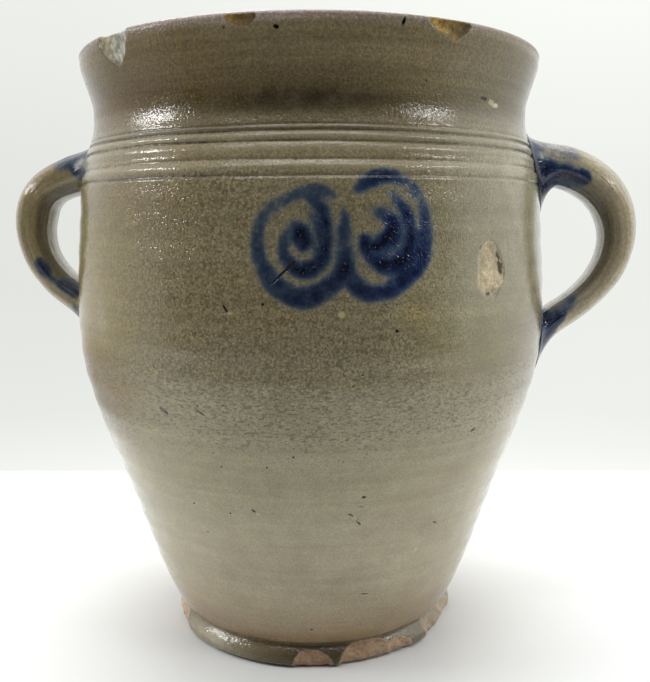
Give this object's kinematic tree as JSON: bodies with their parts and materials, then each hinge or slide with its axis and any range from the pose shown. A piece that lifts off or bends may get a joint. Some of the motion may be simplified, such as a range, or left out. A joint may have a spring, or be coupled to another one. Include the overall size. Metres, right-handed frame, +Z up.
{
  "type": "stoneware jar",
  "caption": "Open ovoid stoneware jar with a flared rim, turned rings under the neck, a beaded foot and a loop handle at each side.",
  "frame": {"origin": "on the jar's axis, at the flat underside of the foot", "axes": "+Z up along the jar's axis, the decorated front faces -Y, the handles lie to -X and +X"},
  "size_m": [0.2675, 0.1992, 0.24],
  "materials": {
    "body_clay": "salt glaze, orange-peel gloss, grey-tan",
    "handle_clay": "salt glaze over pulled clay, with cobalt at the joints"
  },
  "bodies": {
    "root": {"thrown_body": "body_clay", "left_handle": "handle_clay", "left_upper_luting_clay": "handle_clay", "left_lower_luting_clay": "handle_clay", "right_handle": "handle_clay", "right_upper_luting_clay": "handle_clay", "right_lower_luting_clay": "handle_clay"}
  },
  "joints": []
}
